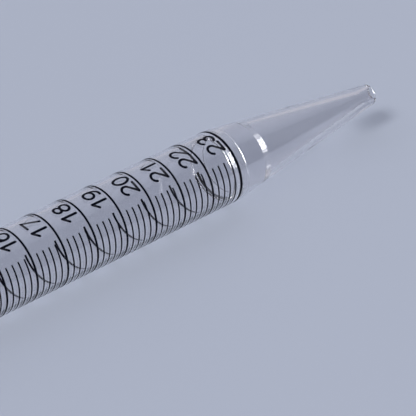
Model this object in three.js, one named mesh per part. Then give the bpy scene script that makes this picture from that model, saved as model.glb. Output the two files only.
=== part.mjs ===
// A clear 25 mL serological pipette that lies on its side: an extruded barrel tube, a moulded
// conical tip and a moulded mouthpiece that are welded to the tube's two ends, and a fibre plug
// in the mouthpiece. Millimetres, +X towards the tip, +Z up, resting on z = 0.
import * as THREE from "three";

// Driving dimensions
const TOTAL_LENGTH = 345;
const BARREL_OD = 15;
const BARREL_WALL = 0.825;
const BARREL_LENGTH = 262.6;
const TIP_REACH = 39.4;
const TIP_END_OD = 4.2;
const TIP_ORIFICE = 2.3;
const NECK_OD = 7.9;
const NECK_BORE = 5.9;
const PLUG_LENGTH = 14;

// Fits: each welded spigot is drawn with a small clearance in the tube, and the two mouldings are
// a little slimmer than the tube they butt against
const WELD_GAP = 0.1;
const PLUG_GAP = 0.12;
const SHOULDER_STEP = 0.1;

// The round pieces share one facet count and phase, so that their facets lie parallel, and one
// facet faces straight down
const FACETS = 32;
const HALF_FACET = Math.PI / FACETS;

const BARREL_R = BARREL_OD / 2;
const BORE_R = BARREL_R - BARREL_WALL;
const SPIGOT_R = BORE_R - WELD_GAP;
const SHOULDER_R = BARREL_R - SHOULDER_STEP;
const AXIS_HEIGHT = BARREL_R * Math.cos(HALF_FACET);

// Stations along the axis
const TIP_END_X = TOTAL_LENGTH / 2;
const MOUTH_END_X = -TOTAL_LENGTH / 2;
const TUBE_TIP_X = TIP_END_X - TIP_REACH;
const TUBE_MOUTH_X = TUBE_TIP_X - BARREL_LENGTH;

function clearPlastic() {
  return new THREE.MeshStandardMaterial({
    color: 0xdfe6ee,
    roughness: 0.06,
    metalness: 0,
    transparent: true,
    opacity: 0.35,
  });
}

function whiteFibre() {
  return new THREE.MeshStandardMaterial({ color: 0xf1f1ec, roughness: 0.95, metalness: 0 });
}

// Turns a closed outline of [x, r] points, measured from the piece's own zero, about the X axis.
// The outer side runs towards +X and the inner side comes back.
function turned(name, outline, material, stationX) {
  const points = outline.map(([x, r]) => new THREE.Vector2(r, x));
  points.push(points[0].clone());
  const geometry = new THREE.LatheGeometry(points, FACETS, HALF_FACET, 2 * Math.PI);
  const mesh = new THREE.Mesh(geometry, material);
  mesh.name = name;
  mesh.rotation.z = -Math.PI / 2;
  mesh.position.set(stationX, 0, AXIS_HEIGHT);
  return mesh;
}

// The tube, zero at its mouthpiece end, with lightly broken edges
function barrelTube() {
  const edge = 0.15;
  return turned("barrel_tube", [
    [0, BORE_R + edge],
    [0, BARREL_R - edge],
    [edge, BARREL_R],
    [BARREL_LENGTH - edge, BARREL_R],
    [BARREL_LENGTH, BARREL_R - edge],
    [BARREL_LENGTH, BORE_R + edge],
    [BARREL_LENGTH - edge, BORE_R],
    [edge, BORE_R],
  ], clearPlastic(), TUBE_MOUTH_X);
}

// The tip, zero at the tube's end: a short spigot inside the tube, a collar that butts against the
// tube's end, and a long straight cone. Its bore is a short cylinder, flared at the spigot's lip,
// that closes through a gentle band into the cone's bore and ends in a small cylindrical land
function conicalTip() {
  const spigotDepth = 3.2;
  const spigotEdge = 0.1;
  const lipBoreR = 6.2;
  const lipLength = 2.4;
  const collarEdge = 0.35;
  const collarBoreR = 5.9;
  const bandX = 5.3;
  const bandLength = 1.5;
  const coneBoreR = 5.58;
  const landLength = 3.6;
  const orificeR = TIP_ORIFICE / 2;
  const endR = TIP_END_OD / 2;
  const endRound = 0.4;
  return turned("conical_tip", [
    [-spigotDepth, lipBoreR],
    [-spigotDepth, SPIGOT_R - spigotEdge],
    [-spigotDepth + spigotEdge, SPIGOT_R],
    [WELD_GAP, SPIGOT_R],
    [WELD_GAP, SHOULDER_R - collarEdge],
    [WELD_GAP + collarEdge, SHOULDER_R],
    [TIP_REACH - endRound, endR],
    [TIP_REACH, endR - endRound],
    [TIP_REACH, orificeR],
    [TIP_REACH - landLength, orificeR],
    [bandX + bandLength, coneBoreR],
    [bandX, collarBoreR],
    [-spigotDepth + lipLength, collarBoreR],
  ], clearPlastic(), TUBE_TIP_X);
}

// The mouthpiece, zero at its open end: a straight neck that a pipette controller grips, a sloped
// shoulder out to the tube, and a spigot inside the tube
function mouthpiece() {
  const neckLength = 27;
  const outerRound = 0.4;
  const boreChamfer = 0.2;
  const flangeLength = 1.2;
  const spigotDepth = 6;
  const spigotWall = 1;
  const spigotR = SPIGOT_R - spigotWall;
  const neckR = NECK_OD / 2;
  const boreR = NECK_BORE / 2;
  const buttX = TUBE_MOUTH_X - MOUTH_END_X - WELD_GAP;
  const shoulderX = buttX - flangeLength;
  return turned("mouthpiece", [
    [0, boreR + boreChamfer],
    [0, neckR - outerRound],
    [outerRound, neckR],
    [neckLength, neckR],
    [shoulderX, SHOULDER_R],
    [buttX, SHOULDER_R],
    [buttX, SPIGOT_R],
    [buttX + spigotDepth, SPIGOT_R],
    [buttX + spigotDepth, spigotR],
    [shoulderX, spigotR],
    [neckLength, boreR],
    [boreChamfer, boreR],
  ], clearPlastic(), MOUTH_END_X);
}

// The fibre plug, zero at its outer end, seated a little way inside the neck
function filterPlug() {
  const recess = 5;
  const plugR = NECK_BORE / 2 - PLUG_GAP;
  const crownLength = 0.6;
  const crownDrop = 0.5;
  const crownR = plugR - crownDrop;
  return turned("filter_plug", [
    [0, 0],
    [0, crownR],
    [crownLength, plugR],
    [PLUG_LENGTH - crownLength, plugR],
    [PLUG_LENGTH, crownR],
    [PLUG_LENGTH, 0],
  ], whiteFibre(), MOUTH_END_X + recess);
}

const pipette = new THREE.Group();
pipette.name = "serological_pipette";
pipette.add(barrelTube(), conicalTip(), mouthpiece(), filterPlug());

export default pipette;
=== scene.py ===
"""A clear 25 mL serological pipette lying on a pale surface, seen along its barrel to the tip."""
import bpy
import math
import random
from mathutils import Matrix, Vector, noise

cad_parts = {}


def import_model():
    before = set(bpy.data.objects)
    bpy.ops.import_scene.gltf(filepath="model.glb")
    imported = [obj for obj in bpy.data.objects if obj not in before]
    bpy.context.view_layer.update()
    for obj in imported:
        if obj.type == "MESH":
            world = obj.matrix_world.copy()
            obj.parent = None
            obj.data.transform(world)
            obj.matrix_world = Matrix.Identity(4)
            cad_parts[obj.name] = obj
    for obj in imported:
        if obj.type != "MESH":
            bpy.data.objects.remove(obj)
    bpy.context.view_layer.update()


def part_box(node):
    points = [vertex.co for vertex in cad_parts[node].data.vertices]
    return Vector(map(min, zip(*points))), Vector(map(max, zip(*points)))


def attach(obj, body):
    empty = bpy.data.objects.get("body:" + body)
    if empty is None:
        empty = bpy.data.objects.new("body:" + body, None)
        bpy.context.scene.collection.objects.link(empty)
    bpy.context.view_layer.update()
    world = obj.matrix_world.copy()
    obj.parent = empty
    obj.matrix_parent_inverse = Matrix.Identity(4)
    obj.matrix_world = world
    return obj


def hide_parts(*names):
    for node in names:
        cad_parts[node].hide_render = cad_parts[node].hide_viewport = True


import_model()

MM = 0.001
BODY = "root"

# ---------------------------------------------------------------- sizes, in millimetres
BARREL_R = 7.5
WALL = 0.825
BORE_R = BARREL_R - WALL
ML = 1000 / (math.pi * BORE_R**2)  # axial distance of one millilitre
LAST_MARK = 23
LAST_MARK_SETBACK = 2.0  # from the tube's tip end to the last ring

TUBE_LO, TUBE_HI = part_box("barrel_tube")
PLUG_LO, PLUG_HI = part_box("filter_plug")
AXIS_Z = (TUBE_LO[2] + TUBE_HI[2]) / 2 / MM
TUBE_TIP_X = TUBE_HI[0] / MM
TUBE_MOUTH_X = TUBE_LO[0] / MM
TIP_END_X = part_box("conical_tip")[1][0] / MM
MOUTH_END_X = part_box("mouthpiece")[0][0] / MM
PLUG_X = PLUG_LO[0] / MM
PLUG_LENGTH = (PLUG_HI[0] - PLUG_LO[0]) / MM
LAST_MARK_X = TUBE_TIP_X - LAST_MARK_SETBACK

# ---------------------------------------------------------------- mesh helpers
AROUND = 192  # segments of a turned surface
STRAIGHT = math.pi / 2 - 0.01  # half angle from which a corner counts as straight


def arc_points(before, corner, after, radius, steps=6):
    """Points of the arc that rounds one corner of an outline."""
    a = (before - corner).normalized()
    b = (after - corner).normalized()
    half = a.angle(b) / 2
    if radius <= 0 or half > STRAIGHT:
        return [corner]
    reach = radius / math.tan(half)
    centre = corner + (a + b).normalized() * (radius / math.sin(half))
    start = corner + a * reach - centre
    end = corner + b * reach - centre
    sweep = start.angle(end)
    points = []
    for i in range(steps + 1):
        t = i / steps
        w0 = math.sin((1 - t) * sweep) / math.sin(sweep)
        w1 = math.sin(t * sweep) / math.sin(sweep)
        points.append(centre + start * w0 + end * w1)
    return points


def rounded(outline):
    """A closed outline of (x, r, corner radius) entries as plain points, its corners rounded."""
    corners = [Vector((x, r)) for x, r, _ in outline]
    count = len(corners)
    points = []
    for i, (_, _, radius) in enumerate(outline):
        points += arc_points(corners[i - 1], corners[i], corners[(i + 1) % count], radius)
    return points


HOLD = 0.06  # length of the short face that keeps a straight stretch's shading at a corner


def split_long(points, longest):
    """Cuts long straight stretches of a closed outline, and holds the shading at their ends."""
    result = []
    for a, b in zip(points, points[1:] + points[:1]):
        length = (b - a).length
        if length < 4 * HOLD:
            result.append(a)
            continue
        pieces = max(1, math.ceil(length / longest))
        cuts = [0, HOLD / length] + [i / pieces for i in range(1, pieces)] + [1 - HOLD / length]
        result += [a.lerp(b, t) for t in cuts]
    return result


def add_object(name, vertices, faces, smooth=True):
    mesh = bpy.data.meshes.new(name)
    mesh.from_pydata(vertices, [], faces)
    mesh.validate()
    mesh.update()
    if smooth:
        mesh.polygons.foreach_set("use_smooth", [True] * len(mesh.polygons))
    piece = bpy.data.objects.new(name, mesh)
    bpy.context.scene.collection.objects.link(piece)
    return piece


def on_axis(x, r, angle):
    """A point at a station x, a radius r and an angle from straight up towards +Y, in metres."""
    return (x * MM, r * math.sin(angle) * MM, (AXIS_Z + r * math.cos(angle)) * MM)


def turned(name, outline, station, longest, welded):
    """A solid of revolution about the pipette's axis, from a closed outline with corner radii.

    Faces whose middle (x, r) is welded to a neighbour take the second material."""
    points = split_long(rounded(outline), longest)
    count = len(points)
    vertices = []
    for k in range(AROUND):
        angle = 2 * math.pi * k / AROUND
        vertices += [on_axis(station + p.x, p.y, angle) for p in points]
    faces, kinds = [], []
    for k in range(AROUND):
        here, there = k * count, (k + 1) % AROUND * count
        for i in range(count):
            j = (i + 1) % count
            faces.append((here + i, here + j, there + j, there + i))
            middle = (points[i] + points[j]) / 2
            kinds.append(int(welded(middle.x, middle.y)))
    piece = add_object(name, vertices, faces)
    piece.data.polygons.foreach_set("material_index", kinds)
    return piece


# ---------------------------------------------------------------- materials
def new_material(name):
    material = bpy.data.materials.new(name)
    material.use_nodes = True
    tree = material.node_tree
    shader = tree.nodes["Principled BSDF"]
    return material, tree, shader


def node(tree, kind, **inputs):
    made = tree.nodes.new(kind)
    for name, value in inputs.items():
        made.inputs[name.replace("_", " ")].default_value = value
    return made


def stretched_noise(tree, stretch, scale, detail, roughness=0.5):
    """Noise in the object's own space, drawn out by a factor along each axis."""
    place = tree.nodes.new("ShaderNodeTexCoord")
    mapping = node(tree, "ShaderNodeMapping", Scale=stretch)
    texture = node(tree, "ShaderNodeTexNoise", Scale=scale, Detail=detail, Roughness=roughness)
    tree.links.new(place.outputs["Object"], mapping.inputs["Vector"])
    tree.links.new(mapping.outputs["Vector"], texture.inputs["Vector"])
    return texture.outputs["Fac"]


def remap(tree, value, low, high):
    """A value from 0 to 1, taken in a straight line to the range from low to high."""
    ramp = node(tree, "ShaderNodeMapRange", To_Min=low, To_Max=high)
    tree.links.new(value, ramp.inputs["Value"])
    return ramp.outputs["Result"]


def smooth_rise(tree, value, start, end):
    """0 up to the start, 1 from the end on, and a smooth rise between them."""
    ramp = node(tree, "ShaderNodeMapRange", From_Min=start, From_Max=end)
    ramp.interpolation_type = "SMOOTHSTEP"
    tree.links.new(value, ramp.inputs["Value"])
    return ramp.outputs["Result"]


def colour_mix(tree, factor, first, second):
    """A blend of two colours, each a plain colour or another node's output."""
    mix = tree.nodes.new("ShaderNodeMix")
    mix.data_type = "RGBA"
    tree.links.new(factor, mix.inputs["Factor"])
    for side, colour in (("A", first), ("B", second)):
        if isinstance(colour, tuple):
            mix.inputs[side].default_value = (*colour, 1)
        else:
            tree.links.new(colour, mix.inputs[side])
    return mix.outputs["Result"]


def axis_of(tree, space, axis):
    """One coordinate of a point in the named texture space."""
    place = tree.nodes.new("ShaderNodeTexCoord")
    split = tree.nodes.new("ShaderNodeSeparateXYZ")
    tree.links.new(place.outputs[space], split.inputs["Vector"])
    return split.outputs[axis]


def shader_mix(tree, factor, first, second):
    """The first shader where the factor is 0 and the second where it is 1."""
    mix = tree.nodes.new("ShaderNodeMixShader")
    for value, socket in ((factor, 0), (first, 1), (second, 2)):
        tree.links.new(value, mix.inputs[socket])
    return mix.outputs["Shader"]


def add_bump(tree, shader, height, strength, distance):
    bump = node(tree, "ShaderNodeBump", Strength=strength, Distance=distance)
    tree.links.new(height, bump.inputs["Height"])
    tree.links.new(bump.outputs["Normal"], shader.inputs["Normal"])


WHITE = (1.0, 1.0, 1.0)
POLYSTYRENE_IOR = 1.59
POLYSTYRENE_TINT = (0.9, 0.895, 0.91)
FLOW_LINE_SCALE = 220
FLOW_LINE_STRENGTH = 0.35
FLOW_LINE_DEPTH = 0.00003  # metres
THICK_END = (0.3, 0.31, 0.33)  # lamp light that passes the tip's thick-walled end
THICK_END_START = (TIP_END_X - 9) * MM
THICK_END_FULL = (TIP_END_X - 1) * MM


def clear_plastic(name, stretch, edge_light):
    """Clear polystyrene with one tint all over and faint flow or draw lines.

    Lamp and bounced light shines through, dimmed to edge_light where it grazes the surface, and
    dimmed towards the tip's thick-walled end, which scatters it."""
    material, tree, shader = new_material(name)
    shader.inputs["Base Color"].default_value = (*POLYSTYRENE_TINT, 1)
    shader.inputs["Transmission Weight"].default_value = 1.0
    shader.inputs["IOR"].default_value = POLYSTYRENE_IOR
    shader.inputs["Roughness"].default_value = 0.0
    lines = stretched_noise(tree, stretch, FLOW_LINE_SCALE, detail=4)
    add_bump(tree, shader, lines, FLOW_LINE_STRENGTH, FLOW_LINE_DEPTH)
    grazing = node(tree, "ShaderNodeLayerWeight", Blend=0.5).outputs["Facing"]
    dimmed = colour_mix(tree, grazing, WHITE, edge_light)
    thick = smooth_rise(tree, axis_of(tree, "Object", "X"), THICK_END_START, THICK_END_FULL)
    through = node(tree, "ShaderNodeBsdfTransparent")
    tree.links.new(colour_mix(tree, thick, dimmed, THICK_END), through.inputs["Color"])
    path = tree.nodes.new("ShaderNodeLightPath")
    surface = shader.outputs["BSDF"]
    for ray in ("Is Diffuse Ray", "Is Shadow Ray"):
        surface = shader_mix(tree, path.outputs[ray], surface, through.outputs["BSDF"])
    tree.links.new(surface, tree.nodes["Material Output"].inputs["Surface"])
    return material


def weld_joint(name):
    """Faces melted into one with a neighbour: nothing bends there, and a haze shows in spots."""
    material, tree, shader = new_material(name)
    shader.inputs["Base Color"].default_value = (0.9, 0.92, 0.95, 1)
    shader.inputs["Roughness"].default_value = 0.4
    haze = stretched_noise(tree, (1, 1, 1), 700, detail=4)
    clear = node(tree, "ShaderNodeBsdfTransparent", Color=(1, 1, 1, 1))
    surface = shader_mix(
        tree, remap(tree, haze, 1.0, 0.96), shader.outputs["BSDF"], clear.outputs["BSDF"])
    tree.links.new(surface, tree.nodes["Material Output"].inputs["Surface"])
    return material


def printed_ink(name, colour, roughness):
    """Screen-printed ink: slightly uneven in colour and gloss."""
    material, tree, shader = new_material(name)
    blots = stretched_noise(tree, (1, 1, 1), 2500, detail=3)
    paler = tuple(c * 1.5 + 0.002 for c in colour)
    tree.links.new(colour_mix(tree, blots, colour, paler), shader.inputs["Base Color"])
    uneven = remap(tree, blots, roughness - 0.1, roughness + 0.1)
    tree.links.new(uneven, shader.inputs["Roughness"])
    shader.inputs["Specular IOR Level"].default_value = 0.04
    return material


# ---------------------------------------------------------------- turned pieces
TIP_SPIGOT = 3.2  # depth of the tip's spigot in the tube
MOUTH_SPIGOT = 6.0  # depth of the mouthpiece's spigot in the tube
WELD_FIT = 0.001  # the two faces of a weld lie this close
END_ROUND = 0.18  # rounding of the tube's outer end edges
NEAR = 0.01  # within this, a face counts as lying at a station or radius


def barrel():
    length = TUBE_TIP_X - TUBE_MOUTH_X
    outline = [
        (0, BORE_R, 0),
        (0, BARREL_R, END_ROUND),
        (length, BARREL_R, END_ROUND),
        (length, BORE_R, 0),
        (length - TIP_SPIGOT, BORE_R, 0),
        (MOUTH_SPIGOT, BORE_R, 0),
    ]

    def welded(x, r):
        at_end = (x < NEAR or x > length - NEAR) and r < BARREL_R - END_ROUND
        in_bore = r < BORE_R + NEAR and (x < MOUTH_SPIGOT or x > length - TIP_SPIGOT)
        return at_end or in_bore

    return turned("barrel", outline, TUBE_MOUTH_X, longest=10, welded=welded)


def tip():
    reach = TIP_END_X - TUBE_TIP_X
    spigot_r = BORE_R - WELD_FIT
    lip_r, lip_length = 6.2, 2.4
    collar_r, collar_round, collar_bore_r = 7.42, 0.22, 5.9
    band_start, band_end, band_edge = 5.3, 6.8, 0.08
    cone_bore_r = 5.58
    orifice_r, land_length = 1.15, 3.6
    shoulder_r, shoulder_length, end_r = 2.2, 0.7, 2.05
    outline = [
        (-TIP_SPIGOT, lip_r, 0.18),
        (-TIP_SPIGOT, spigot_r, 0.15),
        (WELD_FIT, spigot_r, 0),
        (WELD_FIT, collar_r, collar_round),
        (reach - shoulder_length, shoulder_r, 0.5),
        (reach, end_r, 0.6),
        (reach, orifice_r, 0.1),
        (reach - land_length, orifice_r, 1.5),
        (band_end, cone_bore_r, band_edge),
        (band_start, collar_bore_r, band_edge),
        (-TIP_SPIGOT + lip_length, collar_bore_r, 0.3),
    ]

    def welded(x, r):
        at_shoulder = abs(x - WELD_FIT) < NEAR and r < collar_r - collar_round
        return at_shoulder or (x < WELD_FIT + NEAR and r > spigot_r - NEAR)

    return turned("tip", outline, TUBE_TIP_X, longest=3, welded=welded)


def mouthpiece():
    butt = TUBE_MOUTH_X - MOUTH_END_X - WELD_FIT
    spigot_r = BORE_R - WELD_FIT
    neck_length, neck_r, neck_bore_r = 27, 3.95, 2.95
    flange_length, flange_r, flange_round = 1.2, 7.4, 0.2
    spigot_bore_r = 5.6
    outline = [
        (0, neck_bore_r, 0.25),
        (0, neck_r, 0.4),
        (neck_length, neck_r, 4.0),
        (butt - flange_length, flange_r, 1.5),
        (butt, flange_r, flange_round),
        (butt, spigot_r, 0.0),
        (butt + MOUTH_SPIGOT, spigot_r, 0.08),
        (butt + MOUTH_SPIGOT, spigot_bore_r, 0.25),
        (butt - flange_length, spigot_bore_r, 2.0),
        (neck_length, neck_bore_r, 3.0),
    ]

    def welded(x, r):
        at_flange = abs(x - butt) < NEAR and r < flange_r - flange_round
        return at_flange or (x > butt - NEAR and r > spigot_r - NEAR)

    return turned("mouthpiece_shell", outline, MOUTH_END_X, longest=3, welded=welded)


# ---------------------------------------------------------------- printed scale
FINE_START = math.radians(-47)
FINE_END = math.radians(-142)
RING_START = math.radians(60)
RING_END = math.radians(124 - 360)
FINE_PER_ML = 5
END_RING_WIDTH = 0.58
RING_WIDTH = 0.46
FINE_WIDTH = 0.33
INK_SINK = 0.012  # how far the ink reaches into the barrel's surface
INK_RISE = 0.02
ARC_STEP = math.radians(2)  # length of one face along a line round the barrel
CAP_STEPS = 6
CAP_TIP = 0.02  # half width of a stroke's very end, as a part of the stroke's


class Ink:
    """Collects thin ribbons of ink wrapped on the barrel, as one mesh."""

    def __init__(self):
        self.vertices = []
        self.faces = []

    def ribbon(self, left, right):
        """A closed ribbon between two lists of (x, arc) points on the barrel's surface."""
        base = len(self.vertices)
        for (xa, ua), (xb, ub) in zip(left, right):
            for r in (BARREL_R - INK_SINK, BARREL_R + INK_RISE):
                self.vertices.append(on_axis(xa, r, ua / BARREL_R))
                self.vertices.append(on_axis(xb, r, ub / BARREL_R))
        count = len(left)
        for i in range(count - 1):
            a = base + 4 * i
            b = a + 4
            self.faces += [
                (a, a + 1, b + 1, b),
                (a + 2, b + 2, b + 3, a + 3),
                (a, b, b + 2, a + 2),
                (a + 1, a + 3, b + 3, b + 1),
            ]
        end = base + 4 * (count - 1)
        self.faces.append((base, base + 2, base + 3, base + 1))
        self.faces.append((end, end + 1, end + 3, end + 2))

    def line(self, x, width, start, end):
        """A line round part of the barrel, between two angles."""
        steps = max(2, round(abs(end - start) / ARC_STEP))
        arcs = [BARREL_R * (start + (end - start) * i / steps) for i in range(steps + 1)]
        self.ribbon([(x - width / 2, u) for u in arcs], [(x + width / 2, u) for u in arcs])

    def stroke(self, points, width):
        """A pen stroke with round ends along (x, arc) points."""
        half = width / 2
        points = [Vector(p) for p in points]
        first = (points[1] - points[0]).normalized()
        last = (points[-1] - points[-2]).normalized()
        left, right = [], []

        def pair(centre, along, reach, side):
            across = Vector((-along.y, along.x))
            left.append(tuple(centre + along * reach + across * side))
            right.append(tuple(centre + along * reach - across * side))

        for i in range(CAP_STEPS):
            turn = math.pi / 2 * i / CAP_STEPS
            pair(points[0], first, -half * math.cos(turn), half * max(math.sin(turn), CAP_TIP))
        for i, point in enumerate(points):
            before = points[max(i - 1, 0)]
            after = points[min(i + 1, len(points) - 1)]
            along = (after - before).normalized()
            pair(point, along, 0, half)
        for i in range(CAP_STEPS):
            turn = math.pi / 2 * (1 - (i + 1) / CAP_STEPS)
            pair(points[-1], last, half * math.cos(turn), half * max(math.sin(turn), CAP_TIP))
        self.ribbon(left, right)

    def build(self, name):
        return add_object(name, self.vertices, self.faces, smooth=False)


# Digits are pen strokes in a cell with its base at y = 0 and its middle at x = 0, in millimetres
DIGIT_HEIGHT = 3.25
DIGIT_STROKE = 0.54


def oval(cx, cy, rx, ry, start, end, steps=24):
    """Points on an oval between two angles in degrees, counted from the right and turning left."""
    points = []
    for i in range(steps + 1):
        a = math.radians(start + (end - start) * i / steps)
        points.append((cx + rx * math.cos(a), cy + ry * math.sin(a)))
    return points


def digit_strokes(digit):
    h = DIGIT_HEIGHT
    if digit == "0":
        return [oval(0, h / 2, 1.02, h / 2, 0, 360, 40)]
    if digit == "1":
        return [[(0.33, 0), (0.33, h)], [(0.33, h), (-0.78, h - 1.05)]]
    if digit == "2":
        bowl = oval(-0.08, h - 0.98, 0.98, 0.98, 165, -38)
        return [bowl + [(-1.15, 0.0)], [(-1.15, 0.0), (1.15, 0.0)]]
    if digit == "3":
        upper = oval(0.02, h - 0.82, 0.9, 0.82, 155, -90)
        lower = oval(0.0, 0.83, 1.03, 0.83, 90, -150)
        return [upper, lower]
    if digit == "4":
        return [[(0.45, 0), (0.45, h)], [(0.45, h), (-1.15, 1.0)], [(-1.15, 1.0), (1.1, 1.0)]]
    if digit == "5":
        bowl = oval(-0.05, 1.05, 1.05, 1.05, 130, -150)
        return [[(0.85, h), (-0.65, h)], [(-0.65, h)] + bowl]
    if digit == "6":
        loop = oval(0, 1.05, 1.03, 1.05, 0, 360, 36)
        back = oval(0.35, 1.35, 1.38, h - 1.35, 180, 75)
        return [loop, back]
    if digit == "7":
        return [[(-1.05, h), (1.05, h)], [(1.05, h), (-0.45, 0)]]
    if digit == "8":
        return [oval(0, h - 0.75, 0.85, 0.75, 0, 360, 32), oval(0, 0.88, 1.03, 0.88, 0, 360, 36)]
    loop = oval(0, h - 1.05, 1.03, 1.05, 0, 360, 36)
    back = oval(-0.35, h - 1.35, 1.38, h - 1.35, 0, -105)
    return [loop, back]


FIRST_CELL = -2.7  # arc position of a number's first digit, from the top of the barrel
CELL_PITCH = 2.7  # from one digit's middle to the next
DIGIT_LIFT = 0.95  # from a ring's middle to the base of its number


def add_number(ink, text, ring_x):
    for place, digit in enumerate(text):
        middle = FIRST_CELL + CELL_PITCH * place
        for stroke in digit_strokes(digit):
            path = [(ring_x - DIGIT_LIFT - y, middle + x) for x, y in stroke]
            ink.stroke(path, DIGIT_STROKE)


def printed_scale():
    rings, numbers = Ink(), Ink()
    for mark in range(0, LAST_MARK + 1):
        x = LAST_MARK_X - (LAST_MARK - mark) * ML
        width = END_RING_WIDTH if mark in (0, LAST_MARK) else RING_WIDTH
        rings.line(x, width, RING_START, RING_END)
        add_number(numbers, str(mark), x)
        if mark == LAST_MARK:
            continue
        for fine in range(1, FINE_PER_ML):
            rings.line(x + fine * ML / FINE_PER_ML, FINE_WIDTH, FINE_START, FINE_END)
    return rings.build("scale_lines"), numbers.build("scale_numbers")


CODE_BAND_X = TUBE_MOUTH_X + 21.0  # the colour band that tells the pipette's size
CODE_BAND_WIDTH = 3.2
CODE_BAND_END = math.radians(179.6)  # the band's ends nearly meet under the barrel


def code_band():
    band = Ink()
    band.line(CODE_BAND_X, CODE_BAND_WIDTH, -CODE_BAND_END, CODE_BAND_END)
    return band.build("code_band")


# ---------------------------------------------------------------- fibre plug
PLUG_R = 2.86
PLUG_RECESS = 0.12  # how far the matted ends lie inside the plug's box
PLUG_CROWN = 0.7  # length of the plug's rounded end
PLUG_DOME = 0.25  # how far that end bulges
PLUG_END_DROP = 0.3  # from the recess to the middle of the end face
PLUG_LUMPS = 0.28  # depth of the deepest dent
PLUG_AROUND = 96
PLUG_ALONG = 70
STRANDS = 260
STRAND_R = 0.035
STRAND_POINTS = 9
STRAND_STEP = 0.42
STRAND_SEED = 11


def woolly(x, angle, r, depth):
    """A point of the plug's matted surface, pushed in by layered noise."""
    place = Vector((x * 0.55, r * math.sin(angle), r * math.cos(angle)))
    lumps = noise.noise(place * 0.9)
    lumps += 0.5 * noise.noise(place * 2.3)
    lumps += 0.3 * noise.noise(place * 5.1)
    return on_axis(PLUG_X + x, r - depth * (0.5 + 0.5 * max(-1, min(1, lumps))), angle)


def tube_of(vertices, faces, path, radius, sides=5):
    """Adds a closed thin tube along points given in metres."""
    base = len(vertices)
    for i, point in enumerate(path):
        along = (path[min(i + 1, len(path) - 1)] - path[max(i - 1, 0)]).normalized()
        side = along.orthogonal().normalized()
        other = along.cross(side)
        reach = radius * (0.35 if i in (0, len(path) - 1) else 1.0)
        for k in range(sides):
            a = 2 * math.pi * k / sides
            vertices.append(tuple(point + (side * math.cos(a) + other * math.sin(a)) * reach))
    for i in range(len(path) - 1):
        for k in range(sides):
            j = (k + 1) % sides
            a, b = base + i * sides, base + (i + 1) * sides
            faces.append((a + k, a + j, b + j, b + k))
    last = base + (len(path) - 1) * sides
    faces.append(tuple(base + k for k in reversed(range(sides))))
    faces.append(tuple(last + k for k in range(sides)))


def plug():
    """A short wad of matted fibre: a lumpy closed body with fine strands over it."""
    vertices, faces = [], []
    crown = [
        (PLUG_RECESS + PLUG_DOME * (1 - t) ** 2, PLUG_R * math.sin(math.pi / 2 * t))
        for t in (0.15, 0.35, 0.55, 0.75, 0.9)
    ]
    straight = PLUG_LENGTH - 1.6 * PLUG_CROWN
    stations = [
        (PLUG_CROWN * 0.8 + straight * i / PLUG_ALONG, PLUG_R) for i in range(PLUG_ALONG + 1)
    ]
    profile = crown + stations + [(PLUG_LENGTH - x, r) for x, r in reversed(crown)]
    for x, r in profile:
        for k in range(PLUG_AROUND):
            vertices.append(woolly(x, 2 * math.pi * k / PLUG_AROUND, r, PLUG_LUMPS))
    last_row = len(profile) - 1
    for i in range(last_row):
        here, there = i * PLUG_AROUND, (i + 1) * PLUG_AROUND
        for k in range(PLUG_AROUND):
            j = (k + 1) % PLUG_AROUND
            faces.append((here + k, here + j, there + j, there + k))
    near_end = (0, PLUG_RECESS + PLUG_END_DROP, 1)
    far_end = (last_row, PLUG_LENGTH - PLUG_RECESS - PLUG_END_DROP, -1)
    for row, x, order in (near_end, far_end):
        centre = len(vertices)
        vertices.append(on_axis(PLUG_X + x, 0, 0))
        for k in range(PLUG_AROUND):
            rim = (row * PLUG_AROUND + (k + 1) % PLUG_AROUND, row * PLUG_AROUND + k)[::order]
            faces.append((centre, *rim))
    middle = (STRAND_POINTS - 1) // 2
    dice = random.Random(STRAND_SEED)
    for _ in range(STRANDS):
        x = dice.uniform(1.0, PLUG_LENGTH - 1.0)
        angle = dice.uniform(0, 2 * math.pi)
        heading = dice.gauss(0, 0.7)
        bend = dice.gauss(0, 0.35)
        path = []
        for step in range(STRAND_POINTS):
            r = PLUG_R - 0.05 - 0.1 * abs(step - middle) / middle
            path.append(Vector(on_axis(PLUG_X + x, r, angle)))
            x = max(0.5, min(PLUG_LENGTH - 0.5, x + STRAND_STEP * math.cos(heading)))
            angle += STRAND_STEP * math.sin(heading) / PLUG_R
            heading += bend * 0.5
        tube_of(vertices, faces, path, STRAND_R * MM)
    return add_object("plug", vertices, faces)


def matted_fibre(name):
    """White matted fibre: cloudy colour, fine tangled bump and a soft sheen."""
    material, tree, shader = new_material(name)
    clouds = stretched_noise(tree, (1, 1, 1), 900, detail=5)
    cloudy = colour_mix(tree, clouds, (0.62, 0.62, 0.60), (0.9, 0.9, 0.88))
    tree.links.new(cloudy, shader.inputs["Base Color"])
    shader.inputs["Roughness"].default_value = 0.95
    shader.inputs["Sheen Weight"].default_value = 0.4
    tangle = stretched_noise(tree, (0.4, 1, 1), 4200, detail=6, roughness=0.65)
    add_bump(tree, shader, tangle, 0.8, 0.00012)
    return material


# ---------------------------------------------------------------- stage, light and camera
FLOOR_COLOUR = (0.533, 0.582, 0.693)
FLOOR_REACH = 14.0  # metres each way
FLOOR_GAP = 0.00003  # metres from the barrel's lowest line down to the floor


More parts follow.
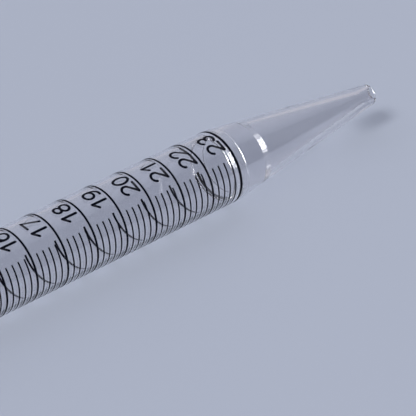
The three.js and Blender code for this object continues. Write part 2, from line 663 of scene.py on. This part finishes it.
def floor(colour):
    """The plain pale surface that the pipette lies on, very faintly uneven."""
    z = (AXIS_Z - BARREL_R) * MM - FLOOR_GAP
    corners = ((-1, -1), (1, -1), (1, 1), (-1, 1))
    vertices = [(x * FLOOR_REACH, y * FLOOR_REACH, z) for x, y in corners]
    piece = add_object("floor", vertices, [(0, 1, 2, 3)], smooth=False)
    material, tree, shader = new_material("floor_surface")
    shader.inputs["Roughness"].default_value = 0.6
    clouds = stretched_noise(tree, (1, 1, 1), 6, detail=2)
    darker = tuple(c * 0.985 for c in colour)
    paler = tuple(c * 1.015 for c in colour)
    tree.links.new(colour_mix(tree, clouds, darker, paler), shader.inputs["Base Color"])
    piece.data.materials.append(material)


LAMP_DISTANCE = 4.0  # metres
# Name, angle along, angle around, the two angles it spans and its radiance
LAMPS = (
    ("overhead", -37, -6, (16, 16), 14.0),
    ("window", 67, -38, (10, 26), 18),
    ("window_low", 67, -64, (10, 26), 8),
    ("window_high", 67, -10, (10, 30), 4),
)


def lamp(name, target, along, around, spread, radiance):
    """A soft rectangular lamp, placed by two angles in degrees and sized by the angles it spans.

    The first angle leans from straight across the pipette towards +X, and the second turns about
    the pipette from straight up towards +Y."""
    a, b = math.radians(along), math.radians(around)
    back = Vector((math.sin(a), math.cos(a) * math.sin(b), math.cos(a) * math.cos(b)))
    wide = Vector((math.cos(a), -math.sin(a) * math.sin(b), -math.sin(a) * math.cos(b)))
    data = bpy.data.lights.new(name, "AREA")
    data.shape = "RECTANGLE"
    data.size, data.size_y = (
        2 * LAMP_DISTANCE * math.tan(math.radians(angle / 2)) for angle in spread)
    data.energy = radiance * math.pi * data.size * data.size_y
    holder = bpy.data.objects.new(name, data)
    bpy.context.scene.collection.objects.link(holder)
    holder.location = target + back * LAMP_DISTANCE
    holder.rotation_euler = Matrix((wide, back.cross(wide), back)).transposed().to_euler()


FOCAL_LENGTH = 254.67
# The camera's place: along and across from the last ring, and above the axis
CAMERA_BACK, CAMERA_ACROSS, CAMERA_UP = 314.85, -358.99, 316.43
CAMERA_AZIMUTH = 48.93
CAMERA_ELEVATION = 34.31


def camera():
    """Behind and above the barrel, looking along it towards the tip."""
    data = bpy.data.cameras.new("camera")
    data.sensor_width = 36
    data.lens = FOCAL_LENGTH
    data.clip_start = 0.01
    place = Vector((LAST_MARK_X - CAMERA_BACK, CAMERA_ACROSS, AXIS_Z + CAMERA_UP)) * MM
    azimuth, elevation = math.radians(CAMERA_AZIMUTH), math.radians(CAMERA_ELEVATION)
    look = Vector((
        math.cos(elevation) * math.cos(azimuth),
        math.cos(elevation) * math.sin(azimuth),
        -math.sin(elevation),
    ))
    holder = bpy.data.objects.new("camera", data)
    bpy.context.scene.collection.objects.link(holder)
    holder.location = place
    holder.rotation_euler = look.to_track_quat("-Z", "Y").to_euler()
    bpy.context.scene.camera = holder


ROOM_DARK = (0.03, 0.03, 0.035)
ROOM_BRIGHT = (0.51, 0.52, 0.60)
BACKDROP = (0.18, 0.19, 0.245)
ROOM_RISE = (-0.25, 0.35)  # where the room's light starts and ends its rise along Y


def world():
    """Soft room light: dark towards -Y and bright towards +Y, with a plain backdrop in view."""
    made = bpy.data.worlds.new("studio")
    made.use_nodes = True
    tree = made.node_tree
    background = tree.nodes["Background"]
    rise = smooth_rise(tree, axis_of(tree, "Generated", "Y"), *ROOM_RISE)
    lit = colour_mix(tree, rise, ROOM_DARK, ROOM_BRIGHT)
    path = tree.nodes.new("ShaderNodeLightPath")
    seen = colour_mix(tree, path.outputs["Is Camera Ray"], lit, BACKDROP)
    tree.links.new(seen, background.inputs["Color"])
    bpy.context.scene.world = made


# ---------------------------------------------------------------- assembly
RAY_BOUNCES = 96  # enough for light to pass all the nested clear walls


def finish_piece(piece, materials, replaces=None):
    for material in materials:
        piece.data.materials.append(material)
    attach(piece, BODY)
    if replaces:
        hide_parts(replaces)


camera()
bpy.context.scene.view_settings.view_transform = "Standard"
for limit in ("max_bounces", "transmission_bounces", "glossy_bounces", "transparent_max_bounces"):
    setattr(bpy.context.scene.cycles, limit, RAY_BOUNCES)
extruded = clear_plastic("extruded_polystyrene", (0.04, 1, 1), WHITE)
moulded = clear_plastic("moulded_polystyrene", (0.5, 1, 1), (0.97, 0.97, 0.98))
weld = weld_joint("welded_polystyrene")
black_ink = printed_ink("black_ink", (0.001, 0.0015, 0.006), 0.5)
red_ink = printed_ink("red_ink", (0.55, 0.012, 0.02), 0.45)

finish_piece(barrel(), [extruded, weld], "barrel_tube")
finish_piece(tip(), [moulded, weld], "conical_tip")
finish_piece(mouthpiece(), [moulded, weld], "mouthpiece")
for print_layer in printed_scale():
    print_layer.visible_shadow = False  # lines this thin throw no shadow that shows in soft light
    finish_piece(print_layer, [black_ink])
finish_piece(code_band(), [red_ink])
finish_piece(plug(), [matted_fibre("white_fibre")], "filter_plug")

floor(FLOOR_COLOUR)
world()
last_ring = Vector((LAST_MARK_X * MM, 0, AXIS_Z * MM))
for name, *setting in LAMPS:
    lamp(name, last_ring, *setting)
